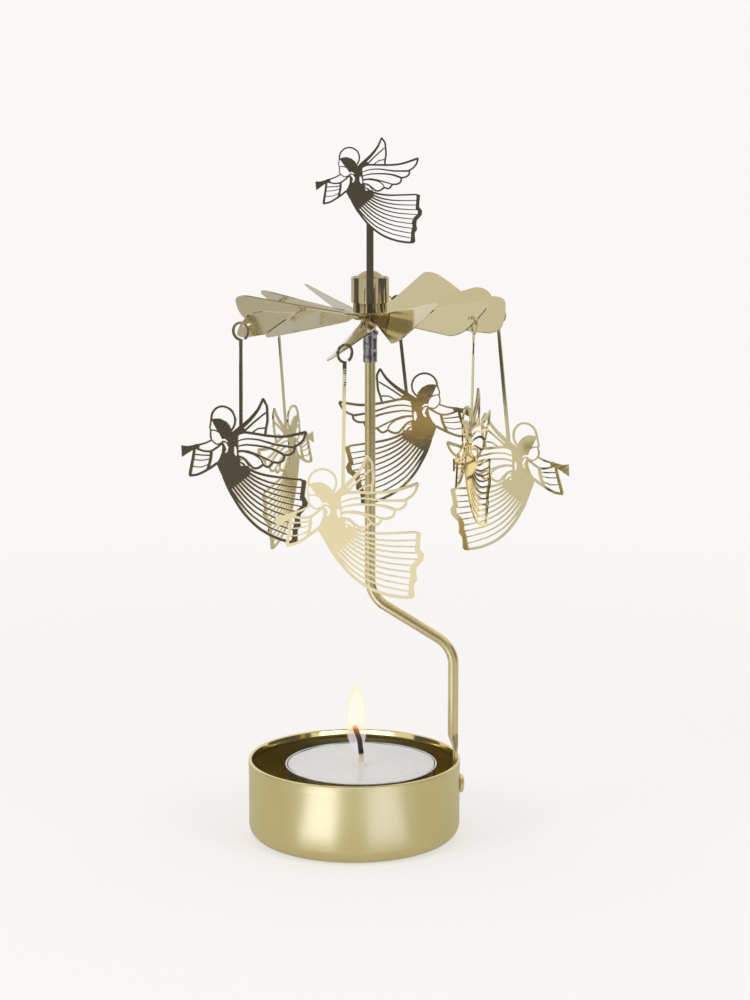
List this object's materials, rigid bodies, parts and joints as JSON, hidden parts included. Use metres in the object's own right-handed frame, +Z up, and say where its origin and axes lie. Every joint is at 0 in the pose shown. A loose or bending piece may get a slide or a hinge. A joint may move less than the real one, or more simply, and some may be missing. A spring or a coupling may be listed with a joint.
{
  "type": "angel chime carousel",
  "caption": "Brass candle carousel: a tealight cup with a bent post, a bladed fan turning on a needle, and trumpet angels hanging from the blades.",
  "frame": {"origin": "centre of the candle cup's base, where it stands on the table", "axes": "+Z up, +X towards the side that the post stands on, -Y towards the viewer of the picture"},
  "size_m": [0.0948, 0.0806, 0.1742],
  "materials": {
    "cup_brass": "satin, pale",
    "rod_brass": "polished, pale",
    "polished_brass": "mirror bright, pale",
    "sheet_brass": "bright, pale",
    "steel": "dark polished",
    "tin": "bright",
    "wax": "smooth wax",
    "wick": "charred cotton"
  },
  "bodies": {
    "stand": {"candle_cup": "cup_brass", "post": "rod_brass", "post_rivet": "rod_brass", "pivot_sleeve": "steel", "pivot_needle": "steel"},
    "rotor": {"hub_cap": "polished_brass", "fan": "polished_brass", "top_angel": "sheet_brass"},
    "angel_1": {"hanging_angel_1": "sheet_brass"},
    "angel_2": {"hanging_angel_2": "sheet_brass"},
    "angel_3": {"hanging_angel_3": "sheet_brass"},
    "angel_4": {"hanging_angel_4": "sheet_brass"},
    "angel_5": {"hanging_angel_5": "sheet_brass"},
    "angel_6": {"hanging_angel_6": "sheet_brass"},
    "tealight": {"tealight_tin": "tin", "tealight_wax": "wax", "wick_tab": "tin", "wick": "wick"}
  },
  "joints": [
    {"name": "rotor_turn", "type": "hinge", "parent": "stand", "child": "rotor", "pos_m": [0.004, 0, 0.1309], "axis": [0, 0, 1], "continuous": true},
    {"name": "swing_1", "type": "hinge", "parent": "rotor", "child": "angel_1", "pos_m": [0.02845, -0.02148, 0.13212], "axis": [-0.9576, 0.2882, 0], "range_deg": [-12, 12]},
    {"name": "swing_2", "type": "hinge", "parent": "rotor", "child": "angel_2", "pos_m": [-0.00177, -0.0317, 0.12666], "axis": [0.0009, 1, 0], "range_deg": [-12, 12]},
    {"name": "swing_3", "type": "hinge", "parent": "rotor", "child": "angel_3", "pos_m": [-0.02686, -0.01015, 0.12923], "axis": [0.4107, 0.9118, 0], "range_deg": [-12, 12]},
    {"name": "swing_4", "type": "hinge", "parent": "rotor", "child": "angel_4", "pos_m": [-0.01949, 0.02252, 0.13117], "axis": [0.9288, -0.3706, 0], "range_deg": [-12, 12]},
    {"name": "swing_5", "type": "hinge", "parent": "rotor", "child": "angel_5", "pos_m": [0.01065, 0.03185, 0.13117], "axis": [-0.0009, -1, 0], "range_deg": [-12, 12]},
    {"name": "swing_6", "type": "hinge", "parent": "rotor", "child": "angel_6", "pos_m": [0.03525, 0.00908, 0.13093], "axis": [-0.5158, -0.8567, 0], "range_deg": [-12, 12]},
    {"name": "tealight_lift", "type": "slide", "parent": "stand", "child": "tealight", "axis": [0, 0, 1], "range_m": [0, 0.021]}
  ]
}
